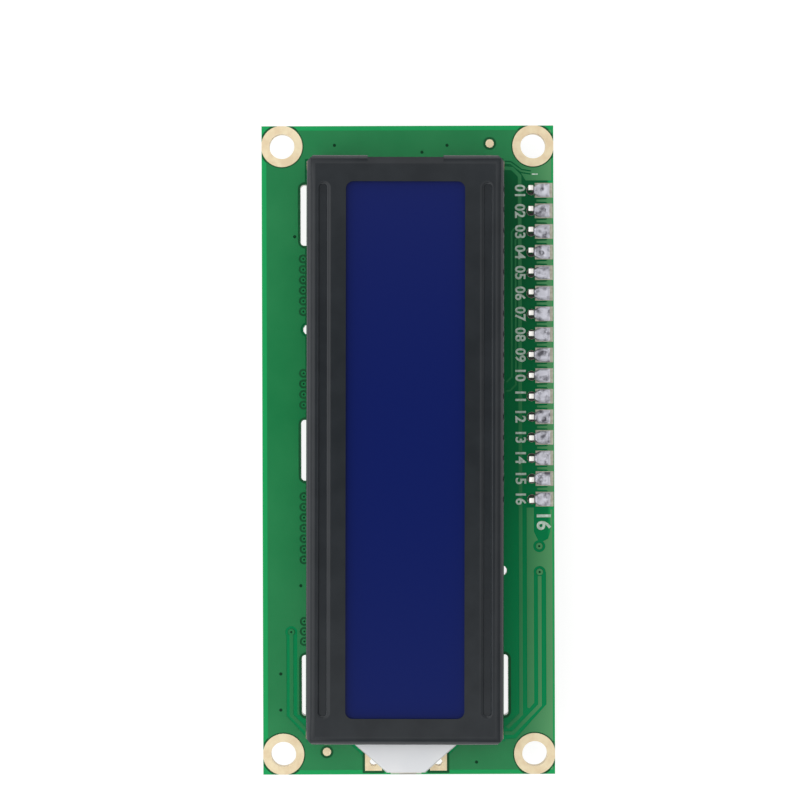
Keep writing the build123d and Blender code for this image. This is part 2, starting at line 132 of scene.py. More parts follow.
def ring(shape, centre, inner, outer, low, high, steps=20):
    """A flat washer, turned from a rectangular profile."""
    x, y = centre
    corners = [(inner, low), (outer, low), (outer, high), (inner, high)]
    verts = [shape.verts.new((x + reach, y, level)) for reach, level in corners]
    edges = [shape.edges.new((verts[i - 1], verts[i])) for i in range(4)]
    bmesh.ops.spin(shape, geom=verts + edges, cent=(x, y, 0), axis=(0, 0, 1),
                   angle=2 * pi, steps=steps, use_merge=True)


def disc(shape, centre, radius, low, high, steps=20):
    """A round plate."""
    place = Matrix.Translation((*centre, (low + high) / 2))
    bmesh.ops.create_cone(shape, cap_ends=True, segments=steps, radius1=radius, radius2=radius,
                          depth=high - low, matrix=place)


def block(shape, centre, size, bevel=0.0, upright_only=False, segments=2):
    """A box, with all its edges or only the upright ones rounded if asked."""
    place = Matrix.Translation(centre) @ Matrix.Diagonal((*size, 1))
    made = bmesh.ops.create_cube(shape, size=1.0, matrix=place)
    if bevel:
        edges = {edge for vert in made["verts"] for edge in vert.link_edges}
        if upright_only:
            edges = {edge for edge in edges
                     if abs(edge.verts[0].co.z - edge.verts[1].co.z) > 1e-6}
        bmesh.ops.bevel(shape, geom=list(edges), offset=bevel, offset_type="OFFSET",
                        segments=segments, profile=0.5, affect="EDGES", material=-1)


def tidy(shape):
    """Merge what coincides and turn all faces outwards."""
    bmesh.ops.remove_doubles(shape, verts=shape.verts, dist=0.0005)
    bmesh.ops.recalc_face_normals(shape, faces=shape.faces)


print("shape helpers ready")


# %% [markdown]
# ## Small helpers for finishes
#
# Every finish is a node tree round one Principled shader. Colours are picked as sRGB hex codes,
# the way a paint card gives them, and one function turns them to the linear light that the
# renderer works in. Patterns read Object coordinates in metres, so a grain of 0.3 mm has a noise
# scale of 1 / 0.0003.

# %% Colours and nodes
def paint(code):
    """Linear colour of an sRGB hex code."""
    parts = [int(code[i:i + 2], 16) / 255 for i in (0, 2, 4)]
    return (*[c / 12.92 if c <= 0.04045 else ((c + 0.055) / 1.055) ** 2.4 for c in parts], 1.0)


def add_node(tree, kind, values=None, links=None, **settings):
    """Add one node with its settings, its fixed values and its links."""
    node = tree.nodes.new(kind)
    for key, value in settings.items():
        setattr(node, key, value)
    for key, value in (values or {}).items():
        node.inputs[key].default_value = value
    for key, source in (links or {}).items():
        tree.links.new(source, node.inputs[key])
    return node


def start_finish(name, **values):
    """A new material with one Principled shader. Returns the material, its tree and the shader."""
    material = bpy.data.materials.new(name)
    material.use_nodes = True
    tree = material.node_tree
    tree.nodes.clear()
    sockets = {key.replace("_", " "): value for key, value in values.items()}
    shader = add_node(tree, "ShaderNodeBsdfPrincipled", sockets)
    add_node(tree, "ShaderNodeOutputMaterial", links={"Surface": shader.outputs["BSDF"]})
    return material, tree, shader


def noise_at(tree, size_mm, detail=2.0):
    """A noise pattern whose grains are about size_mm wide."""
    place = add_node(tree, "ShaderNodeTexCoord")
    return add_node(tree, "ShaderNodeTexNoise", {"Scale": 1 / (size_mm * MM), "Detail": detail},
                    {"Vector": place.outputs["Object"]}).outputs["Fac"]


def two_tones(tree, factor, low, high, start=0.35, end=0.65):
    """Colour that runs from one tone to another as factor goes from start to end."""
    ramp = add_node(tree, "ShaderNodeValToRGB", links={"Fac": factor})
    ramp.color_ramp.elements[0].position = start
    ramp.color_ramp.elements[0].color = paint(low)
    ramp.color_ramp.elements[1].position = end
    ramp.color_ramp.elements[1].color = paint(high)
    return ramp.outputs["Color"]


def roughen(tree, shader, factor, height_mm):
    """Raise the surface by up to height_mm where factor is high."""
    bump = add_node(tree, "ShaderNodeBump", {"Strength": 1.0, "Distance": height_mm * MM},
                    {"Height": factor})
    tree.links.new(bump.outputs["Normal"], shader.inputs["Normal"])


def wear(node_name, finish):
    """Give a solid of the frame its finish."""
    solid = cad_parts[node_name]
    if not solid.material_slots:
        solid.data.materials.append(finish)
    for place in solid.material_slots:
        place.material = finish


print("finish helpers ready")

# %% [markdown]
# ## The green solder mask
#
# The board is woven glass in epoxy, printed with a green liquid mask and cured. Over copper the
# mask looks milky and light, and over bare laminate it is deep green, because the light sinks
# into the board. Close to the sawn edge the light comes back out through the side, so a bright
# green line runs round the rim. One material does the board: it measures the distance to the
# rim in Object coordinates, and the cut sides show the pale laminate.

# %% Mask on bare laminate
laminate_mask, tree, shader = start_finish(
    "solder_mask_on_glass_laminate", Roughness=0.14, IOR=1.5,
    Specular_IOR_Level=0.08)
place = add_node(tree, "ShaderNodeTexCoord")
where = add_node(tree, "ShaderNodeSeparateXYZ", links={"Vector": place.outputs["Object"]})


def rim_distance(axis, half_length):
    """Distance to the two rims that lie across one axis, in metres."""
    size = add_node(tree, "ShaderNodeMath", links={0: where.outputs[axis]}, operation="ABSOLUTE")
    return add_node(tree, "ShaderNodeMath", {0: half_length * MM}, {1: size.outputs[0]},
                    operation="SUBTRACT").outputs[0]


nearest = add_node(tree, "ShaderNodeMath", links={
    0: rim_distance("X", BOARD_LENGTH / 2),
    1: rim_distance("Y", BOARD_WIDTH / 2),
}, operation="MINIMUM")
# The bright rim is painted light: a lighter green put into the colour near the sawn edge
rim_glow = add_node(tree, "ShaderNodeMapRange", {"From Min": 0.9 * MM, "From Max": 0.45 * MM},
                    {"Value": nearest.outputs[0]}, interpolation_type="SMOOTHSTEP")
# The deep green is painted darker towards -X and lighter towards +X: painted shade
along = add_node(tree, "ShaderNodeMapRange", {"From Min": -24 * MM, "From Max": 26 * MM},
                 {"Value": where.outputs["X"]})
deep = two_tones(tree, along.outputs["Result"], "0a6438", "048a50", 0.0, 1.0)
mask_colour = add_node(tree, "ShaderNodeMix", {"B": paint("1fa35b")},
                       {"Factor": rim_glow.outputs["Result"], "A": deep}, data_type="RGBA")
facing = add_node(tree, "ShaderNodeSeparateXYZ", links={"Vector": place.outputs["Normal"]})
flat = add_node(tree, "ShaderNodeMath", links={0: facing.outputs["Z"]}, operation="ABSOLUTE")
cut_side = add_node(tree, "ShaderNodeMath", {1: 0.5}, {0: flat.outputs[0]}, operation="LESS_THAN")
weave = two_tones(tree, noise_at(tree, 0.25, 1.0), "8da05c", "b9bd83")
board_colour = add_node(tree, "ShaderNodeMix", links={
    "Factor": cut_side.outputs[0], "A": mask_colour.outputs["Result"], "B": weave,
}, data_type="RGBA")
tree.links.new(board_colour.outputs["Result"], shader.inputs["Base Color"])
roughen(tree, shader, noise_at(tree, 0.5), 0.001)
wear("circuit_board", laminate_mask)
print("board finish:", laminate_mask.name)

# %% Mask over copper
copper_mask, tree, shader = start_finish("solder_mask_over_copper", Roughness=0.14, IOR=1.5,
                                         Specular_IOR_Level=0.3)
patches = noise_at(tree, 7.0, 3.0)
green = two_tones(tree, patches, "137d45", "21854c", 0.3, 0.7)
place = add_node(tree, "ShaderNodeTexCoord")
across = add_node(tree, "ShaderNodeSeparateXYZ", links={"Vector": place.outputs["Object"]})
# The mask over copper is painted lighter and greyer towards the header's rim: a painted sheen
painted_sheen_to_rim = add_node(tree, "ShaderNodeMapRange", {"From Min": 13 * MM, "From Max": 17.5 * MM,
                                                "To Max": 0.55}, {"Value": across.outputs["Y"]})
green = add_node(tree, "ShaderNodeMix", {"B": paint("6ba871")}, {
    "Factor": painted_sheen_to_rim.outputs["Result"], "A": green}, data_type="RGBA").outputs["Result"]
tree.links.new(green, shader.inputs["Base Color"])
roughen(tree, shader, noise_at(tree, 0.4), 0.0012)

# %% [markdown]
# ## Copper under the mask
#
# The front of the board is flooded with copper, with channels etched round every track, pad and
# slot. Under the mask the copper still stands up by a few hundredths of a millimetre. A prism of
# the whole flood is cut with a boolean by fatter copies of the tracks, as the etching leaves a
# gap on both sides of each. Tracks start as upright walls that a Solidify modifier makes as wide
# as the copper.

# %% Lines of the tracks, as the etched film has them
wide_tracks = [
    [(-34.76, 11.9), (-34.68, 12.92), (-33.77, 13.83), (32.61, 13.83), (34.3, 12.1)],
    [(15.6, 16.16), (31.51, 16.16), (34.95, 12.8), (34.95, 11.8)],
    [(22.75, -14.5), (32.7, -14.5), (34.6, -12.6)],
]
fine_tracks = [
    [(-35.4, 11.9), (-35.36, 12.7), (-34.4, 14.0), (-34.2, 15.2)],
    [(-27.27, 13.14), (-26.86, 12.82), (-8.98, 12.8), (-8.34, 12.1)],
    [(-26.2, 13.6), (-25.9, 13.3), (-8.03, 13.3), (-7.3, 12.6), (-7.24, 12.0)],
]
WIDE = 0.44
FINE = 0.22

# %% Places of the plated vias
big_vias = [(22.42, -14.5), (11.9, 16.12), (15.09, 16.16)]
small_vias = [(27.58, -15.81), (32.03, -15.82), (16.7, -13.3), (-26.36, -13.94),
              (-37.62, -9.0), (-37.59, 4.89), (-36.74, 1.79), (38.51, 8.3)]
edge_vias = [(-23.62 + 1.3 * i, -12.89) for i in range(6)]
edge_vias += [(-9.5 + 1.3 * i, -12.89) for i in range(4)]
edge_vias += [(5.7 + 1.3 * i, -12.89) for i in range(7)]
edge_vias += [(21.1 + 1.24 * i, -12.89) for i in range(3)]
print("vias:", len(big_vias) + len(small_vias) + len(edge_vias))


# %% A mesh object that is only a tool
def tool_object(shape, thickness=None):
    """A throwaway object in millimetres, its walls thickened if asked."""
    mesh = bpy.data.meshes.new("tool")
    shape.to_mesh(mesh)
    shape.free()
    tool = bpy.data.objects.new("tool", mesh)
    scene.collection.objects.link(tool)
    if thickness:
        thicken = tool.modifiers.new("thicken", "SOLIDIFY")
        thicken.thickness = thickness
        thicken.offset = 0
        thicken.use_even_offset = True
    return tool


def finished_shape(tool):
    """The bmesh of an object with its modifiers applied. The object goes."""
    bpy.context.view_layer.update()
    evaluated = tool.evaluated_get(bpy.context.evaluated_depsgraph_get())
    shape = bmesh.new()
    shape.from_mesh(evaluated.to_mesh())
    evaluated.to_mesh_clear()
    bpy.data.objects.remove(tool)
    return shape


def cut_away(solid, cutters):
    """One bmesh less several others."""
    worked = tool_object(solid)
    for cutter in cutters:
        knife = tool_object(cutter)
        cut = worked.modifiers.new("cut", "BOOLEAN")
        cut.object = knife
        cut.solver = "EXACT"
        cut.use_self = True
    knives = [modifier.object for modifier in worked.modifiers]
    result = finished_shape(worked)
    for knife in knives:
        bpy.data.objects.remove(knife)
    return result


# %% The flood and its channels
flood = bmesh.new()
prism(flood, [(-39.45, -17.4), (39.45, -17.4), (39.45, 17.75), (-39.45, 17.75)],
      BOARD_TOP, BOARD_TOP + MASK_RISE)
tidy(flood)
bare_right = [
    (-35.1, 11.0), (-35.13, 12.29), (-34.95, 13.04), (-34.08, 14.04), (-33.22, 14.58),
    (-33.22, 18.1), (7.4, 18.1), (7.4, 17.5), (10.11, 17.5), (10.98, 17.22), (11.35, 16.53),
    (11.17, 15.97), (10.11, 15.46), (7.14, 15.46), (7.14, 14.59), (31.78, 14.59),
    (31.9, 14.85), (31.22, 15.44), (15.09, 15.44), (15.09, 16.95), (31.41, 16.96),
    (35.62, 13.17), (35.74, 11.0),
]
bare_left = [(22.42, -15.11), (22.42, -13.77), (32.65, -13.77), (32.65, -12.5),
             (35.6, -12.5), (32.77, -15.11)]
channels = bmesh.new()
LOW, HIGH = BOARD_TOP - 1, BOARD_TOP + 1
prism(channels, bare_right, LOW, HIGH)
block(channels, (0, DISPLAY_Y, BOARD_TOP), (BEZEL_LENGTH + 0.4, BEZEL_WIDTH + 0.5, 2))
more_channels = bmesh.new()
prism(more_channels, bare_left, LOW, HIGH)
for slot_x in (-29, 0, 29):
    for side in (-1, 1):
        block(more_channels, (slot_x, DISPLAY_Y + side * 11.98, BOARD_TOP), (8.2, 2.3, 2),
              bevel=0.9, upright_only=True, segments=6)
for spot in big_vias:
    disc(more_channels, spot, 0.75, LOW, HIGH)
round_channels = bmesh.new()
for spot in ((-14.9, -12.29), (14.9, 11.49)):
    disc(round_channels, spot, 0.95, LOW, HIGH)
for x, y in ((-37.8, 10.15), (37.2, -10.15)):
    disc(round_channels, (x, y), 0.8, LOW, HIGH, 28)
for x in (-37.5, 37.5):
    for y in (-15.5, 15.5):
        disc(round_channels, (x, y), 2.7, LOW, HIGH, 48)
tongue_channel = bmesh.new()
for spot in edge_vias:
    disc(tongue_channel, spot, 0.56, LOW, HIGH)
block(tongue_channel, (38.45, DISPLAY_Y, BOARD_TOP), (2.8, 10.7, 2))
prism(tongue_channel, [(35.0, -8.6), (38.0, -5.4), (38.0, 4.5), (35.0, 7.7)], LOW, HIGH)
for shape in (channels, more_channels, round_channels, tongue_channel):
    tidy(shape)
track_channel = bmesh.new()
wall(track_channel, fine_tracks[0], LOW, HIGH)
track_channel = finished_shape(tool_object(track_channel, thickness=FINE + 2 * 0.16))
flood = cut_away(flood, [channels, more_channels, round_channels, tongue_channel,
                         track_channel])
add_piece("front_copper_flood", flood, copper_mask)

# %% [markdown]
# Between two edges of copper the mask sinks into a narrow channel, which lies in shade and looks
# darker than open laminate. Thin plates of painted shade fill the channels round slots, corner
# rings, lead lands and vias, and the holes are cut out of them.

# %% Painted shade in the narrow channels
# Dark green tones that stand for the shade in the channels: painted shade
channel_painted_shade, tree, shader = start_finish("painted_shade_in_mask_channels", Roughness=0.3,
                                           IOR=1.5, Specular_IOR_Level=0.1)
channel_shade_tones = two_tones(tree, noise_at(tree, 1.5), "115530", "175e36")
tree.links.new(channel_shade_tones, shader.inputs["Base Color"])
THIN = 0.004
narrow = bmesh.new()
for x in (-37.5, 37.5):
    for y in (-15.5, 15.5):
        ring(narrow, (x, y), 2.4, 2.8, BOARD_TOP, BOARD_TOP + THIN, 48)
for spot in big_vias:
    disc(narrow, spot, 0.45, BOARD_TOP, BOARD_TOP + THIN)
for spot in edge_vias:
    disc(narrow, spot, 0.57, BOARD_TOP, BOARD_TOP + THIN)
for x, y in ((-37.8, 10.15), (37.2, -10.15)):
    ring(narrow, (x, y), 0.4, 0.82, BOARD_TOP, BOARD_TOP + THIN, 28)
# The corner rings reach the rim, so their channels stop at the board's edge
for vert in narrow.verts:
    vert.co.x = max(-39.97, min(39.97, vert.co.x))
    vert.co.y = max(-17.97, min(17.97, vert.co.y))
tidy(narrow)
slot_frames = bmesh.new()
for slot_x in (-29, 0, 29):
    block(slot_frames, (slot_x, DISPLAY_Y - 11.98, BOARD_TOP + THIN / 2), (8.25, 2.35, THIN),
          bevel=0.9, upright_only=True, segments=6)
block(slot_frames, (29, DISPLAY_Y + 11.89, BOARD_TOP + THIN / 2), (8.25, 2.2, THIN),
      bevel=0.9, upright_only=True, segments=6)
for side in (-1, 1):
    block(slot_frames, (38.5, DISPLAY_Y + side * 4.0, BOARD_TOP + THIN / 2), (2.7, 2.7, THIN))
holes_in_frames = bmesh.new()
for slot_x in (-29, 0, 29):
    block(holes_in_frames, (slot_x, DISPLAY_Y - 11.98, BOARD_TOP), (7.52, 1.7, 2), bevel=0.45,
          upright_only=True, segments=6)
block(holes_in_frames, (29, DISPLAY_Y + 11.89, BOARD_TOP), (7.52, 1.52, 2), bevel=0.45,
      upright_only=True, segments=6)
for side in (-1, 1):
    disc(holes_in_frames, (38.5, DISPLAY_Y + side * 4.0), 0.56, LOW, HIGH)
block(holes_in_frames, (40.6, DISPLAY_Y, BOARD_TOP), (1.4, 12.0, 2))
for shape in (slot_frames, holes_in_frames):
    tidy(shape)
add_piece("channel_shade_plates", narrow, channel_painted_shade)
add_piece("channel_shade_frames", cut_away(slot_frames, [holes_in_frames]),
          channel_painted_shade)

# %% Tracks and via rings on the front
for name, lines, width in (("wide", wide_tracks, WIDE), ("fine", fine_tracks, FINE)):
    shape = bmesh.new()
    for line in lines:
        wall(shape, line, BOARD_TOP, BOARD_TOP + MASK_RISE)
    shape = finished_shape(tool_object(shape, thickness=width))
    tidy(shape)
    add_piece(f"front_tracks_{name}", shape, copper_mask)

rings = bmesh.new()
for spot in big_vias:
    ring(rings, spot, 0.14, 0.4, BOARD_TOP, BOARD_TOP + 0.04)
for spot in edge_vias:
    ring(rings, spot, 0.13, 0.31, BOARD_TOP, BOARD_TOP + 0.03, 14)
for x in [(a + b) / 2 for a, b in zip(PIN_X, PIN_X[1:])]:
    prism(rings, [(x - 0.12, 15.9), (x + 0.12, 15.9), (x + 0.16, 17.1), (x + 0.36, 17.25),
                  (x + 0.36, 17.85), (x - 0.36, 17.85), (x - 0.36, 17.25), (x - 0.16, 17.1)],
          BOARD_TOP, BOARD_TOP + MASK_RISE)
tidy(rings)
add_piece("front_via_rings", rings, copper_mask)

# %% [markdown]
# A via is drilled through its ring, and the mask sinks into the hole, where it lies in shade. From
# a step away that is a dark green dot. A thin disc inside each ring carries it as painted shade.

# %% Via centres
# Dark green for the shade in the via holes: painted shade
via_hole_painted_shade, tree, shader = start_finish("painted_shade_in_via_holes", Base_Color=paint("003c20"),
                                     Roughness=0.5, Specular_IOR_Level=0.1)
roughen(tree, shader, noise_at(tree, 0.1), 0.002)
dips = bmesh.new()
for spot in big_vias + edge_vias:
    disc(dips, spot, 0.145, BOARD_TOP, BOARD_TOP + 2 * THIN, 12)
# A small via stands in the flood itself, so that only its sunk middle can be told from it
for spot in small_vias:
    disc(dips, spot, 0.2, BOARD_TOP, BOARD_TOP + MASK_RISE + THIN, 16)
add_piece("front_via_centres", dips, via_hole_painted_shade)

# %% [markdown]
# ## Bare copper with its plating
#
# Corner rings, pin lands and the two round marks are copper that the mask leaves open. A flash
# of pale plating makes them cream and half dull. It is thin and scratched by the tester's
# needles, so it is only partly mirror-like.

# %% Pale plating
plating, tree, shader = start_finish("pale_flash_plating_on_copper", Metallic=0.35,
                                     Roughness=0.42)
cream = two_tones(tree, noise_at(tree, 1.1, 3.0), "e8d2ac", "f2e2bd")
tree.links.new(cream, shader.inputs["Base Color"])
roughen(tree, shader, noise_at(tree, 0.15), 0.003)
for name in ("mounting_hole_platings", "backlight_lands", "registration_marks"):
    wear(name, plating)

# Hand soldering leaves a dull grey tin on the pin lands, which scatters more than it mirrors
dull_tin, tree, shader = start_finish("dull_tinned_copper_land", Metallic=0.3, Roughness=0.45)
grey_cream = two_tones(tree, noise_at(tree, 0.4, 3.0), "a5a291", "bdbbab")
tree.links.new(grey_cream, shader.inputs["Base Color"])
roughen(tree, shader, noise_at(tree, 0.2), 0.004)
wear("header_lands", dull_tin)

# %% [markdown]
# ## Pins and their solder
#
# The pins are drawn brass wire with a bright tin coat. The solder has wetted the long lands and
# climbs the outer face of each pin, and no two joints are alike. Round the pin itself the hole
# is dark: burnt flux, with painted shade for the unfilled hole. Each joint starts as a grid that
# is spread to the land's outline and lifted to a lumpy cushion, some with a small pit where gas
# blew out.

# %% Tin finish
tin, tree, shader = start_finish("tin_plated_brass_wire", Base_Color=paint("f3f1ec"),
                                 Metallic=1.0, Roughness=0.4)

# Drawn wire mirrors what is beside it, so its sides are painted a darker grey for the dark they
# mirror
pin_tin, tree, shader = start_finish("pin_with_painted_dark_sides", Metallic=1.0)
place = add_node(tree, "ShaderNodeTexCoord")
facing = add_node(tree, "ShaderNodeSeparateXYZ", links={"Vector": place.outputs["Normal"]})
# The drawn sides are smooth and painted darker as a painted reflection, and the sheared end is
# bright and rough
end_face = add_node(tree, "ShaderNodeMapRange", {"From Min": 0.4, "From Max": 0.7},
                    {"Value": facing.outputs["Z"]})
pin_colour_painted_dark_sides = two_tones(tree, end_face.outputs["Result"], "96958f", "f6f4ef", 0.0, 1.0)
tree.links.new(pin_colour_painted_dark_sides, shader.inputs["Base Color"])
pin_gloss = add_node(tree, "ShaderNodeMapRange", {"To Min": 0.24, "To Max": 0.45},
                     {"Value": end_face.outputs["Result"]})
tree.links.new(pin_gloss.outputs["Result"], shader.inputs["Roughness"])

# %% Leaning pins
# The row was bent over a little when the module was handled, by 0.055 mm for each mm of height.
LEAN = 0.055
for number, pin_x in enumerate(PIN_X, start=1):
    pin = bmesh.new()
    block(pin, (pin_x, PIN_Y, 0.3), (0.64, 0.64, 11.6), 0.09)
    for vert in pin.verts:
        vert.co.y -= LEAN * max(vert.co.z - BOARD_TOP, 0)
    add_piece(f"leaning_pin_{number:02d}", pin, pin_tin,
              [f"header_pin_{number:02d}"], 40)

# %% Solder finish
solder, tree, shader = start_finish("tin_solder_with_dull_skin", Metallic=0.75, Roughness=0.38)
skin = two_tones(tree, noise_at(tree, 0.8, 3.0), "66656d", "d0d0da", 0.3, 0.52)
tree.links.new(skin, shader.inputs["Base Color"])
roughen(tree, shader, noise_at(tree, 0.3, 2.0), 0.03)


# %% One joint per pin
def solder_joint(shape, pin_x, pin_y, dice):
    """A lumpy cushion of solder on one land, which climbs the outer face of its pin."""
    made = bmesh.ops.create_grid(shape, x_segments=18, y_segments=28, size=1.0)
    fill = dice.uniform(0.2, 0.3)
    turn = dice.uniform(0, 2 * pi)
    flare = dice.uniform(0.78, 0.86)
    pit = Vector((dice.uniform(-0.35, 0.35), dice.uniform(0.9, 1.7)))
    pit_depth = dice.choice((0.0, 0.1, 0.22))
    for vert in made["verts"]:
        across, along = vert.co.x, (vert.co.y + 1) / 2
        y = 0.3 + 1.98 * along
        spread = min(along / 0.45, 1)
        x = across * (0.42 + (flare - 0.42) * spread * (2 - spread))
        edge = (1 - across ** 6) * (1 - max(2 * along - 1, 0) ** 8)
        lump = 0.18 * sin(3.4 * y + turn) * cos(2.9 * x - turn) + 0.1 * sin(7.3 * x + 2 * turn)
        pool = fill * (1 + lump) * edge
        pool -= pit_depth * exp(-(Vector((x, y)) - pit).length_squared / 0.05) * edge
        climb = 0.5 * exp(-(y - 0.3) / 0.16) * (1 - across ** 4)
        vert.co = (pin_x + x, pin_y + y, LAND_TOP + max(pool, 0) + climb)


joints = bmesh.new()
dice = Random(16)
for pin_x in PIN_X:
    solder_joint(joints, pin_x, PIN_Y, dice)
bmesh.ops.remove_doubles(joints, verts=joints.verts, dist=0.0005)
bmesh.ops.recalc_face_normals(joints, faces=joints.faces)
if sum(face.normal.z for face in joints.faces) < 0:
    bmesh.ops.reverse_faces(joints, faces=joints.faces)
add_piece("flowed_header_solder", joints, solder, ["header_solder"], 60)

# %% Burnt flux and painted shade in the holes
hole_flux_and_shade, tree, shader = start_finish("flux_and_painted_hole_shade", Roughness=0.3, IOR=1.5)
# Near-black discs: burnt flux, with painted shade of the unfilled pin holes
tar = two_tones(tree, noise_at(tree, 0.3), "0e0d0b", "231d14")
tree.links.new(tar, shader.inputs["Base Color"])
flux = bmesh.new()
for pin_x in PIN_X:
    disc(flux, (pin_x, PIN_Y), 0.58, LAND_TOP - 0.1, LAND_TOP + 0.04, 24)
add_piece("flux_and_shade_in_pin_holes", flux, hole_flux_and_shade)

# %% [markdown]
# ## The bezel
#
# A sheet of steel is blanked with the window, two beads are pressed in to stiffen it, its four
# sides are bent down and six tabs go through the board. The same steps make it here: a flat
# outline with three holes is filled, the beads are stepped down ring by ring, the side edges are
# spun round the bend line and pulled down, and Solidify gives the sheet its 0.5 mm.

# %% Black lacquer on steel
black_steel, tree, shader = start_finish("black_lacquered_steel_sheet", Roughness=0.13, IOR=1.5,
                                         Specular_IOR_Level=0.3)
lacquer = two_tones(tree, noise_at(tree, 3.0, 3.0), "212529", "262a2e")
tree.links.new(lacquer, shader.inputs["Base Color"])
roughen(tree, shader, noise_at(tree, 0.25, 2.0), 0.0008)

# %% Loops for the window and the beads
BEND = 1.1
HALF_X = BEZEL_LENGTH / 2 - BEND
HALF_Y = BEZEL_WIDTH / 2 - BEND
TAB_X = (-29.0, 0.0, 29.0)
TAB_HALF = 3.3
BEAD_Y = 9.95
BEAD_HALF = 31.75
# Reach towards the window, reach towards the bend, and depth of each ring
bead_profile = [(0.93, 0.66, 0.0), (0.84, 0.63, -0.008), (0.75, 0.60, -0.025),
                (0.66, 0.57, -0.052), (0.58, 0.54, -0.090), (0.50, 0.50, -0.145),
                (0.44, 0.46, -0.200), (0.40, 0.42, -0.250)]


def window_loop(shape):
    """The punched window: a rectangle with rounded corners."""
    corners = [shape.verts.new((x, y, 0)) for x, y in
               ((-32.5, -7.2), (32.5, -7.2), (32.5, 7.2), (-32.5, 7.2))]
    for i in range(4):
        shape.edges.new((corners[i - 1], corners[i]))
    bmesh.ops.bevel(shape, geom=corners, offset=0.9, offset_type="OFFSET", segments=10,
                    profile=0.5, affect="VERTICES", material=-1)


def bead(shape, line_y):
    """A pressed groove: one long ring after another, each lower and narrower."""
    turn = Matrix.Rotation(pi / 48, 4, "Z")
    made = bmesh.ops.create_circle(shape, cap_ends=False, radius=1.0, segments=48, matrix=turn)
    verts = made["verts"]
    edges = list({edge for vert in verts for edge in vert.link_edges})
    outer = list(edges)
    rings = [verts]
    for _ in bead_profile[1:]:
        lower = bmesh.ops.extrude_edge_only(shape, edges=edges)["geom"]
        rings.append([part for part in lower if isinstance(part, bmesh.types.BMVert)])
        edges = [part for part in lower if isinstance(part, bmesh.types.BMEdge)]
    for verts, (inner, outside, depth) in zip(rings, bead_profile):
        for vert in verts:
            end = BEAD_HALF if vert.co.x > 0 else -BEAD_HALF
            reach = inner if vert.co.y * line_y < 0 else outside
            vert.co.x = end + vert.co.x * (inner + outside) / 2
            vert.co.y = line_y + vert.co.y * reach
            vert.co.z = depth
    bmesh.ops.contextual_create(shape, geom=edges)
    return outer


sheet = bmesh.new()
window_loop(sheet)
holes = list(sheet.edges)
for side in (-1, 1):
    holes += bead(sheet, side * BEAD_Y)
print("loop edges:", len(holes))

# %% The flat sheet round them
TONGUE_GAP = 7.35
END_NOTCH = 4.6
stops = sorted([x + s * TAB_HALF for x in TAB_X for s in (-1, 1)] + [-HALF_X, HALF_X])
outline = [(x, -HALF_Y) for x in stops]
outline += [(HALF_X, -TONGUE_GAP), (HALF_X, TONGUE_GAP)]
outline += [(x, HALF_Y) for x in reversed(stops)]
outline += [(-HALF_X, END_NOTCH), (-HALF_X, -END_NOTCH)]
rim = [sheet.verts.new((x, y, 0)) for x, y in outline]
rim_edges = [sheet.edges.new((rim[i - 1], rim[i])) for i in range(len(rim))]
bmesh.ops.triangle_fill(sheet, use_beauty=True, edges=holes + rim_edges)
print("flat faces:", len(sheet.faces))


# %% Bends, walls and tabs
def pull_down(shape, edges, drop):
    """Lengthen the sheet downwards from its lowest edges."""
    lower = bmesh.ops.extrude_edge_only(shape, edges=edges)["geom"]
    verts = [part for part in lower if isinstance(part, bmesh.types.BMVert)]
    bmesh.ops.translate(shape, vec=(0, 0, -drop), verts=verts)
    return [part for part in lower if isinstance(part, bmesh.types.BMEdge)], verts


def bend_down(shape, edges, axis, centre, drop):
    """Spin edges a quarter turn over the bend line, then pull them down."""
    verts = list({vert for edge in edges for vert in edge.verts})
    bent = bmesh.ops.spin(shape, geom=verts + edges, cent=centre, axis=axis, angle=radians(90),
                          steps=14, use_merge=False)["geom_last"]
    edges = [part for part in bent if isinstance(part, bmesh.types.BMEdge)]
    return pull_down(shape, edges, drop)[0]


def on_line(edges, axis, value, low, high):
    """The edges that lie on one side's line, between two places along it."""
    other = 1 - axis
    return [edge for edge in edges
            if all(abs(vert.co[axis] - value) < 1e-4 for vert in edge.verts)
            and all(low - 1e-4 < vert.co[other] < high + 1e-4 for vert in edge.verts)]


WALL = BEZEL_TOP - BOARD_TOP - BEND
TONGUE_GAP_TOP = 5.6
sides = []
for side in (-1, 1):
    edges = on_line(rim_edges, 1, side * HALF_Y, -HALF_X, HALF_X)
    sides += bend_down(sheet, edges, (-side, 0, 0), (0, side * HALF_Y, -BEND), WALL)
for low, high in ((-HALF_Y, -END_NOTCH), (END_NOTCH, HALF_Y)):
    edges = on_line(rim_edges, 0, -HALF_X, low, high)
    bend_down(sheet, edges, (0, -1, 0), (-HALF_X, 0, -BEND), WALL)
notch_lip = on_line(rim_edges, 0, -HALF_X, -END_NOTCH, END_NOTCH)
lip = bmesh.ops.extrude_edge_only(sheet, edges=notch_lip)["geom"]
lip = [part for part in lip if isinstance(part, bmesh.types.BMVert)]
bmesh.ops.translate(sheet, vec=(-0.8, 0, -0.03), verts=lip)
edges = on_line(rim_edges, 0, HALF_X, -HALF_Y, HALF_Y)
above_tongue = BEZEL_TOP - BEND - TONGUE_GAP_TOP
lower = bend_down(sheet, edges, (0, 1, 0), (HALF_X, 0, -BEND), above_tongue)
for low, high in ((-HALF_Y, -TONGUE_GAP), (TONGUE_GAP, HALF_Y)):
    beside = on_line(lower, 0, HALF_X + BEND, low, high)
    pull_down(sheet, beside, TONGUE_GAP_TOP - BOARD_TOP)
MITRE = 1.35
for vert in sheet.verts:
    over_x = abs(vert.co.x) - HALF_X
    over_y = abs(vert.co.y) - HALF_Y
    if over_y > 1e-4 and abs(over_x) < 1e-4:
        vert.co.x *= (HALF_X + min(over_y, MITRE - over_y)) / HALF_X
    if over_x > 1e-4 and abs(over_y) < 1e-4:
        vert.co.y *= (HALF_Y + min(over_x, MITRE - over_x)) / HALF_Y
TWIST = 6.0
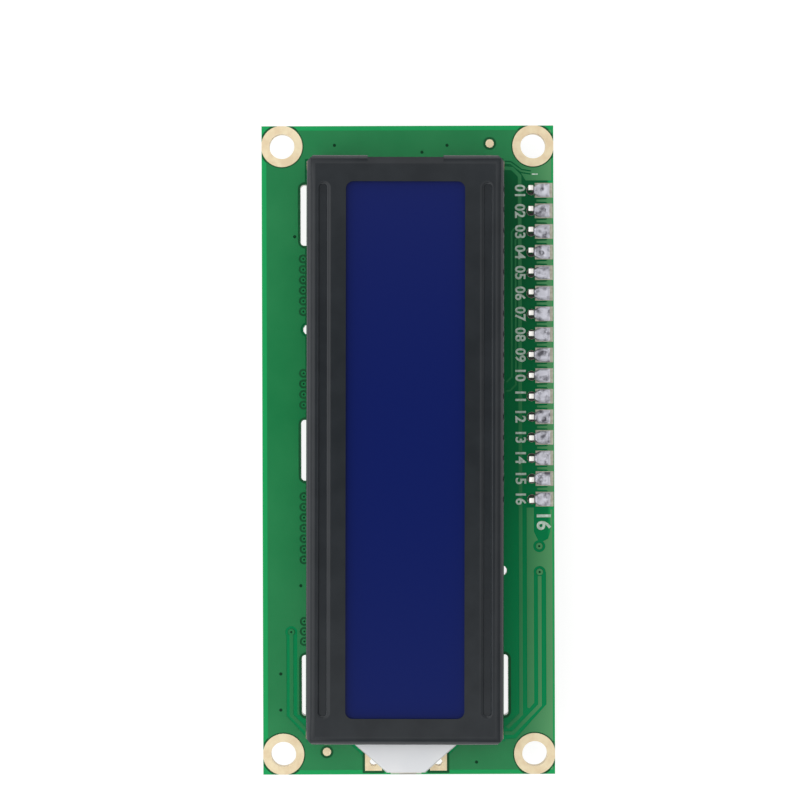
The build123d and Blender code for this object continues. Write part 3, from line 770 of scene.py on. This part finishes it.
for side in (-1, 1):
    for tab_x in TAB_X:
        line = side * (HALF_Y + BEND)
        edges = on_line(sides, 1, line, tab_x - TAB_HALF, tab_x + TAB_HALF)
        edges, verts = pull_down(sheet, edges, BOARD_TOP)
        for _ in range(6):
            edges, verts = pull_down(sheet, edges, 2.0 / 6)
            turn = Matrix.Rotation(radians(side * TWIST / 6), 3, "Z")
            middle = (tab_x, line - side * SHEET / 2, 0)
            bmesh.ops.rotate(sheet, cent=middle, matrix=turn, verts=verts)
bmesh.ops.remove_doubles(sheet, verts=sheet.verts, dist=0.0005)
bmesh.ops.recalc_face_normals(sheet, faces=sheet.faces)
top_face = max(sheet.faces, key=lambda face: face.calc_area())
if top_face.normal.z < 0:
    bmesh.ops.reverse_faces(sheet, faces=sheet.faces)
# The tabs have play in their slots, and the photographed bezel was pressed on a little askew.
# The notch over the tongue is 0.35 mm wider than the solid's, so that the turned bezel clears it.
BEZEL_SKEW = -0.25
BEZEL_SLIP = -0.12
askew = Matrix.Rotation(radians(BEZEL_SKEW), 3, "Z")
bmesh.ops.rotate(sheet, cent=(0, 0, 0), matrix=askew, verts=sheet.verts)
bmesh.ops.translate(sheet, vec=(BEZEL_SLIP, DISPLAY_Y, BEZEL_TOP), verts=sheet.verts)
bezel = add_piece("pressed_bezel", sheet, black_steel, ["bezel"], 35)
for face in bezel.data.polygons:
    if face.normal.z > 0.9999:
        face.use_smooth = False
thicken = bezel.modifiers.new("sheet", "SOLIDIFY")
thicken.thickness = SHEET * MM
thicken.offset = -1
thicken.use_even_offset = True
edge_round = bezel.modifiers.new("sheared_edges", "BEVEL")
edge_round.width = 0.12 * MM
edge_round.segments = 2
edge_round.limit_method = "ANGLE"
edge_round.angle_limit = radians(60)
even = bezel.modifiers.new("even_light", "WEIGHTED_NORMAL")
even.keep_sharp = True

# %% [markdown]
# ## The display cell and its backlight
#
# Only the front polarizer shows in the window: a deep blue film with a soft gloss. The rest of
# the cell, the light guide and its films get plain finishes of what they are, since they show at
# the tongue and through the slots.

# %% Films, glass and the guide
blue_film, tree, shader = start_finish("deep_blue_polarizer_film", Roughness=0.15, IOR=1.49,
                                         Specular_IOR_Level=0.15)
place = add_node(tree, "ShaderNodeTexCoord")
where = add_node(tree, "ShaderNodeSeparateXYZ", links={"Vector": place.outputs["Object"]})
# The blue is painted a little redder towards -X and deeper towards +X: a painted light falloff
down = add_node(tree, "ShaderNodeMapRange", {"From Min": -32.5 * MM, "From Max": 32.5 * MM},
                {"Value": where.outputs["X"]})
deep_blue = two_tones(tree, down.outputs["Result"], "0f1c5c", "04175a", 0.0, 1.0)
tree.links.new(deep_blue, shader.inputs["Base Color"])
wear("front_polarizer", blue_film)

# Stretched polarizer film looks neutral grey, with a soft gloss
grey_film, tree, shader = start_finish("grey_polarizer_film", Base_Color=paint("5b5d62"),
                                       Roughness=0.3, IOR=1.49)
roughen(tree, shader, noise_at(tree, 0.3), 0.002)
wear("rear_polarizer", grey_film)

# Float glass is clear with a green tinge and a sharp gloss
pane, tree, shader = start_finish("float_glass_pane", Base_Color=paint("eef6f2"),
                                  Roughness=0.02, IOR=1.52, Transmission_Weight=0.9)
roughen(tree, shader, noise_at(tree, 2.0), 0.001)
for name in ("front_glass", "rear_glass"):
    wear(name, pane)

# Cured epoxy seal is a cloudy cream with little gloss
seal, tree, shader = start_finish("cured_edge_seal", Base_Color=paint("c9c6b6"), Roughness=0.5)
roughen(tree, shader, noise_at(tree, 0.2), 0.003)
wear("cell_seal", seal)

# Carbon filled and plain silicone are stacked, so the rubber is finely striped and dull
rubber, tree, shader = start_finish("layered_contact_rubber", Roughness=0.7)
place = add_node(tree, "ShaderNodeTexCoord")
# The real layers are 0.05 mm thick. They are drawn 0.2 mm thick so that they can be seen.
layers = add_node(tree, "ShaderNodeTexWave", {"Scale": 1 / (0.4 * MM) / 6.283},
                  {"Vector": place.outputs["Object"]}, bands_direction="X")
pinks = two_tones(tree, layers.outputs["Fac"], "2b2b2d", "c79a92")
tree.links.new(pinks, shader.inputs["Base Color"])
for name in ("contact_strip_header_side", "contact_strip_far_side"):
    wear(name, rubber)

# Moulded acrylic is clear, and its film behind makes it look milky
acrylic, tree, shader = start_finish("clear_moulded_acrylic", Base_Color=paint("f2f5f3"),
                                     Roughness=0.2, IOR=1.49, Transmission_Weight=0.3)
roughen(tree, shader, noise_at(tree, 0.8), 0.002)
wear("light_guide", acrylic)

# White polyester is filled with pigment, so it looks even, cool white and nearly dull
white_film, tree, shader = start_finish("white_polyester_film", Roughness=0.45, IOR=1.5)
pale = two_tones(tree, noise_at(tree, 5.0), "e6e8eb", "ecedef")
tree.links.new(pale, shader.inputs["Base Color"])
roughen(tree, shader, noise_at(tree, 0.6), 0.003)
for name in ("diffuser_film", "reflector_film"):
    wear(name, white_film)
print("cell and backlight finished")

# %% [markdown]
# The white film on the tongue is die cut a little smaller than the acrylic under it, so that a
# light line of bare acrylic runs down each side.

# %% Tongue film
low_corner, high_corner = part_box("tongue_cover_film")
film_start, film_end = low_corner[0] / MM, high_corner[0] / MM
film_low, film_high = low_corner[2] / MM, high_corner[2] / MM
wide_half = (high_corner[1] - low_corner[1]) / 2 / MM - 0.22
tip_half = 2.36 - 0.16
film = bmesh.new()
prism(film, [(film_start, DISPLAY_Y - wide_half), (film_end - 0.04, DISPLAY_Y - tip_half),
             (film_end - 0.04, DISPLAY_Y + tip_half), (film_start, DISPLAY_Y + wide_half)],
      film_low, film_high)
tidy(film)
add_piece("tongue_film", film, white_film, ["tongue_cover_film"])

# %% [markdown]
# ## The lamp at the tongue's end
#
# A white moulded lamp body fires sideways into the guide. Its solder is the same as the
# header's.

# %% Lamp
lamp_body, tree, shader = start_finish("white_lamp_moulding", Roughness=0.4, IOR=1.55)
moulding = two_tones(tree, noise_at(tree, 0.8), "e2ddcf", "efebe0")
tree.links.new(moulding, shader.inputs["Base Color"])
wear("backlight_led", lamp_body)
wear("backlight_led_solder", solder)
# The lamp's back is painted dark grey and dull: painted shade behind the lamp body
lamp_back_painted_shade, tree, shader = start_finish("painted_shade_on_lamp_back", Base_Color=paint("4a4d46"),
                                        Roughness=0.5)
roughen(tree, shader, noise_at(tree, 0.2), 0.003)
low_corner, high_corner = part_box("backlight_led")
lamp_back = high_corner[0] / MM
back_plate = bmesh.new()
block(back_plate, (lamp_back + 0.05, -0.17, 2.58), (0.1, 2.1, 1.84), 0.03)
add_piece("lamp_back_shade_plate", back_plate, lamp_back_painted_shade)

# %% [markdown]
# ## Printed numbers
#
# A pale ink is screened on the mask beside the header. The pins are numbered plainly from 1 to
# 16, and the two ends of the row carry larger numbers. Text objects are made meshes first, then
# set in place, and they rise by the ink's 0.02 mm.

# %% Ink and numbers
ink, tree, shader = start_finish("pale_legend_ink", Roughness=0.55, IOR=1.45)
pale_ink = two_tones(tree, noise_at(tree, 0.35, 3.0), "a9c4b1", "d5e6da")
tree.links.new(pale_ink, shader.inputs["Base Color"])


def number_mesh(shape, text, centre, height, low, high):
    """A number as a thin raised print, centred on a place."""
    curve = bpy.data.curves.new("print", "FONT")
    curve.body = text
    curve.extrude = 0.5
    curve.offset = 0.025
    curve.resolution_u = 3
    writing = bpy.data.objects.new("print", curve)
    scene.collection.objects.link(writing)
    bpy.context.view_layer.update()
    mesh = bpy.data.meshes.new_from_object(writing)
    bpy.data.objects.remove(writing)
    first = len(shape.verts)
    shape.from_mesh(mesh)
    bpy.data.meshes.remove(mesh)
    shape.verts.ensure_lookup_table()
    verts = shape.verts[first:]
    lows = [min(vert.co[i] for vert in verts) for i in range(3)]
    highs = [max(vert.co[i] for vert in verts) for i in range(3)]
    size = height / (highs[1] - lows[1])
    for vert in verts:
        vert.co.x = centre[0] + (vert.co.x - (lows[0] + highs[0]) / 2) * size
        vert.co.y = centre[1] + (vert.co.y - (lows[1] + highs[1]) / 2) * size
        vert.co.z = low if vert.co.z < 0 else high


legend = bmesh.new()
for number, pin_x in enumerate(PIN_X, start=1):
    number_mesh(legend, f"{number:02d}", (pin_x, 13.88), 1.32, BOARD_TOP, BOARD_TOP + 0.05)
number_mesh(legend, "1", (-34.0, 15.7), 0.72, BOARD_TOP, BOARD_TOP + 0.05)
number_mesh(legend, "16", (8.95, 16.7), 1.8, BOARD_TOP, BOARD_TOP + 0.05)
add_piece("legend_numbers", legend, ink)

# %% [markdown]
# ## Behind the board
#
# Two bare chips sit under poured black epoxy, and a row of chip resistors and capacitors stands
# beside them. The epoxy is turned as a dome with a soft edge. Chip parts are a ceramic body with
# tinned ends, so each is made of three rounded blocks.

# %% Epoxy domes
epoxy, tree, shader = start_finish("poured_black_epoxy", Base_Color=paint("141416"),
                                   Roughness=0.22, IOR=1.55)
roughen(tree, shader, noise_at(tree, 2.5), 0.02)
dome_profile = [(7.5 * sin(a), -1.6 * cos(a) ** 0.8) for a in [i * pi / 2 / 10 for i in range(10)]]
dome_profile.append((7.5, 0.0))
for name, centre_x in (("controller", -15.0), ("driver", 15.0)):
    dome = bmesh.new()
    verts = [dome.verts.new((centre_x + reach, -1.5, level)) for reach, level in dome_profile]
    edges = [dome.edges.new(pair) for pair in zip(verts, verts[1:])]
    bmesh.ops.spin(dome, geom=verts + edges, cent=(centre_x, -1.5, 0), axis=(0, 0, 1),
                   angle=2 * pi, steps=48, use_merge=True)
    open_edges = [edge for edge in dome.edges if edge.is_boundary]
    bmesh.ops.contextual_create(dome, geom=open_edges)
    tidy(dome)
    add_piece(f"{name}_epoxy_pour", dome, epoxy, [f"{name}_epoxy_dome"], 50)

# Polished silicon is a dark, slightly metallic grey
silicon, tree, shader = start_finish("bare_silicon_die", Base_Color=paint("3a3d44"),
                                     Metallic=0.4, Roughness=0.2)
roughen(tree, shader, noise_at(tree, 0.2), 0.001)
for name in ("controller_die", "driver_die"):
    wear(name, silicon)

# %% Chip parts
# Resistor glaze is black with a low gloss
glaze, tree, shader = start_finish("black_glazed_ceramic", Base_Color=paint("1b1b1d"),
                                   Roughness=0.35, IOR=1.5)
roughen(tree, shader, noise_at(tree, 0.2), 0.003)
# Fired capacitor ceramic is an unglazed light brown
brown_ceramic, tree, shader = start_finish("brown_fired_ceramic", Base_Color=paint("9a7856"),
                                           Roughness=0.5, IOR=1.5)
roughen(tree, shader, noise_at(tree, 0.2), 0.003)
chip_parts = [(f"resistor_{i + 1}", 34.0 - 3.0 * i, 7.6, 0.5, glaze, "resistor_body")
              for i in range(8)]
chip_parts += [(f"capacitor_{i + 1}", 3.0 * i, -8.0, 0.85, brown_ceramic, "capacitor_body")
               for i in range(3)]
ends = bmesh.new()
for name, x, y, height, finish, slot in chip_parts:
    body = bmesh.new()
    block(body, (x, y, -height / 2 + 0.015), (1.19, 1.2, height - 0.03), 0.05)
    add_piece(f"{name}_body", body, finish, [name], 40)
    for side in (-1, 1):
        block(ends, (x, y + side * 0.8, -height / 2), (1.25, 0.4, height), 0.06)
add_piece("chip_end_caps", ends, tin, smooth_angle=40)
wear("chip_solder", solder)

# %% [markdown]
# ## The header's plastic strip
#
# The strip behind the board is glass filled nylon, moulded black and a little dull.

# %% Strip
nylon, tree, shader = start_finish("moulded_black_nylon", Base_Color=paint("17181a"),
                                   Roughness=0.55, IOR=1.53)
roughen(tree, shader, noise_at(tree, 0.12), 0.006)
wear("header_strip", nylon)

# %% [markdown]
# ## Copper behind the board
#
# The back has its own flood, with tracks that fan out from the pins to the first chip and rings
# where the lamp's and the pins' holes come through.

# %% Back tracks
back_lines = []
for number in range(3, 12):
    fan_x = -23.6 + 1.15 * (number - 3)
    back_lines.append([(PIN_X[number], 15.4), (PIN_X[number], 13.2 - 0.3 * abs(number - 5)),
                       (fan_x, 10.2 - 0.3 * abs(number - 5)), (fan_x, 7.8), (fan_x + 1.2, 4.6)])
for number, lane, run_x in ((13, 12.9, 4.5), (14, 13.3, 5.1)):
    back_lines.append([(PIN_X[number], 15.4), (PIN_X[number], lane), (run_x, lane),
                       (run_x, 9.6), (run_x + 4.0, 5.2)])
back_lines.append([(PIN_X[15], 15.4), (PIN_X[15], 9.6), (PIN_X[15] + 4.0, 5.2)])
back_flood = bmesh.new()
prism(back_flood, [(-39.45, -17.4), (39.45, -17.4), (39.45, 17.4), (-39.45, 17.4)],
      -MASK_RISE, 0.0)
tidy(back_flood)
gaps = bmesh.new()
for line in back_lines:
    wall(gaps, line, -1, 1)
gaps = finished_shape(tool_object(gaps, thickness=0.72))
plain_gaps = bmesh.new()
block(plain_gaps, (-12.95, 15.6, 0), (41.4, 3.2, 2), 0.3, upright_only=True)
for slot_x in (-29, 0, 29):
    for side in (-1, 1):
        block(plain_gaps, (slot_x, DISPLAY_Y + side * 11.98, 0), (8.2, 2.3, 2), 0.9,
              upright_only=True, segments=6)
round_gaps = bmesh.new()
for x in (-37.5, 37.5):
    for y in (-15.5, 15.5):
        disc(round_gaps, (x, y), 2.7, -1, 1, 48)
for x in (-15.0, 15.0):
    disc(round_gaps, (x, -1.5), 8.3, -1, 1, 64)
for spot in ((-14.9, -12.29), (14.9, 11.49)):
    disc(round_gaps, spot, 0.95, -1, 1)
block(round_gaps, (38.5, DISPLAY_Y, 0), (2.6, 10.6, 2), 0.2, upright_only=True)
chip_gaps = bmesh.new()
block(chip_gaps, (23.5, 7.6, 0), (23.0, 3.0, 2), 0.3, upright_only=True)
block(chip_gaps, (3.0, -8.0, 0), (8.4, 3.0, 2), 0.3, upright_only=True)
for shape in (plain_gaps, round_gaps, chip_gaps):
    tidy(shape)
back_flood = cut_away(back_flood, [gaps, plain_gaps, round_gaps, chip_gaps])
add_piece("back_copper_flood", back_flood, copper_mask)

back = bmesh.new()
for line in back_lines:
    wall(back, line, -MASK_RISE, 0.0)
back = finished_shape(tool_object(back, thickness=0.3))
tidy(back)
add_piece("back_tracks", back, copper_mask)

# %% [markdown]
# ## Floor, light and camera
#
# The photograph looks straight down on a white ground, with the board's long side upright in
# the picture. The floor is white to the camera and to reflections, and keeps a faint shadow. The
# studio is one dome that is dim straight overhead, where the camera hangs, and bright round it.
# Its left half is brighter than the rest, as a window beside the table would make it. Flat glossy
# faces mirror the dim spot, which keeps the window deep, and bends and beads sweep through the
# bright ring, which draws the fine light lines beside dark ones.

# %% Floor
floor_material = bpy.data.materials.new("white_paper_floor")
floor_material.use_nodes = True
tree = floor_material.node_tree
tree.nodes.clear()
rays = add_node(tree, "ShaderNodeLightPath")
seen = add_node(tree, "ShaderNodeMath", links={
    0: rays.outputs["Is Camera Ray"], 1: rays.outputs["Is Glossy Ray"]}, operation="MAXIMUM")
seen = add_node(tree, "ShaderNodeMath", links={
    0: seen.outputs[0], 1: rays.outputs["Is Transmission Ray"]}, operation="MAXIMUM")
paper = add_node(tree, "ShaderNodeBsdfDiffuse", {"Color": (0.8, 0.8, 0.8, 1)})
thin_paper = add_node(tree, "ShaderNodeBsdfDiffuse", {"Color": (0.25, 0.25, 0.25, 1)})
glow = add_node(tree, "ShaderNodeEmission", {"Color": (1, 1, 1, 1), "Strength": 0.85})
both = add_node(tree, "ShaderNodeAddShader", links={
    0: thin_paper.outputs[0], 1: glow.outputs[0]})
surface = add_node(tree, "ShaderNodeMixShader", links={
    "Fac": seen.outputs[0], 1: paper.outputs[0], 2: both.outputs[0]})
add_node(tree, "ShaderNodeOutputMaterial", links={"Surface": surface.outputs[0]})
floor_shape = bmesh.new()
bmesh.ops.create_grid(floor_shape, x_segments=1, y_segments=1, size=4.0,
                      matrix=Matrix.Translation((0, 0, -5.55 * MM)))
floor_mesh = bpy.data.meshes.new("floor")
floor_shape.to_mesh(floor_mesh)
floor_shape.free()
floor_mesh.materials.append(floor_material)
floor = bpy.data.objects.new("floor", floor_mesh)
scene.collection.objects.link(floor)

# %% Studio round it
world = bpy.data.worlds.new("studio")
scene.world = world
world.use_nodes = True
tree = world.node_tree
tree.nodes.clear()
SKY_STRENGTH = 2.15
direction = add_node(tree, "ShaderNodeTexCoord")
axes = add_node(tree, "ShaderNodeSeparateXYZ", links={"Vector": direction.outputs["Generated"]})


def dome_half(levels):
    """Brightness of one half of the dome, from pairs of degrees off the zenith and level."""
    node = add_node(tree, "ShaderNodeValToRGB", links={"Fac": axes.outputs["Z"]})
    ramp = node.color_ramp
    ramp.elements[0].color = (*[levels[-1][1] * 0.8] * 3, 1)
    ramp.elements[-1].color = (*[levels[0][1] * 0.8] * 3, 1)
    for from_zenith, level in levels[1:-1]:
        stop = ramp.elements.new(cos(radians(from_zenith)))
        stop.color = (*[level * 0.8] * 3, 1)
    return node.outputs["Color"]


left_half = dome_half([(0, 0.03), (3, 0.05), (4.9, 0.3), (5.6, 0.5), (7.4, 0.85), (9, 1.0),
                       (35, 1.0), (44, 0.6), (56, 0.65), (66, 1.1), (80, 1.2), (90, 1.1)])
other_half = dome_half([(0, 0.03), (3, 0.05), (4.9, 0.25), (5.6, 0.4), (7.4, 0.6), (10, 0.68),
                        (22, 0.55), (36, 0.4), (50, 0.25), (70, 0.3), (80, 0.9), (90, 1.1)])
to_left = add_node(tree, "ShaderNodeMapRange", {"From Min": 0.0, "From Max": -0.45},
                   {"Value": axes.outputs["Y"]}, interpolation_type="SMOOTHSTEP")
both_halves = add_node(tree, "ShaderNodeMix", links={
    "Factor": to_left.outputs["Result"], "A": other_half, "B": left_half}, data_type="RGBA")
sky = add_node(tree, "ShaderNodeBackground", {"Strength": SKY_STRENGTH},
               {"Color": both_halves.outputs["Result"]})
add_node(tree, "ShaderNodeOutputWorld", links={"Surface": sky.outputs[0]})


# %% Camera
camera = bpy.data.cameras.new("camera")
camera.sensor_width = 36
camera.lens = 124.0
camera.clip_start = 0.01
holder = bpy.data.objects.new("camera", camera)
holder.location = (-6.18 * MM, -1.005 * MM, (BOARD_TOP + 340) * MM)
holder.rotation_euler = (0, 0, radians(89.83))
scene.collection.objects.link(holder)
scene.camera = holder
scene.view_settings.view_transform = "Standard"
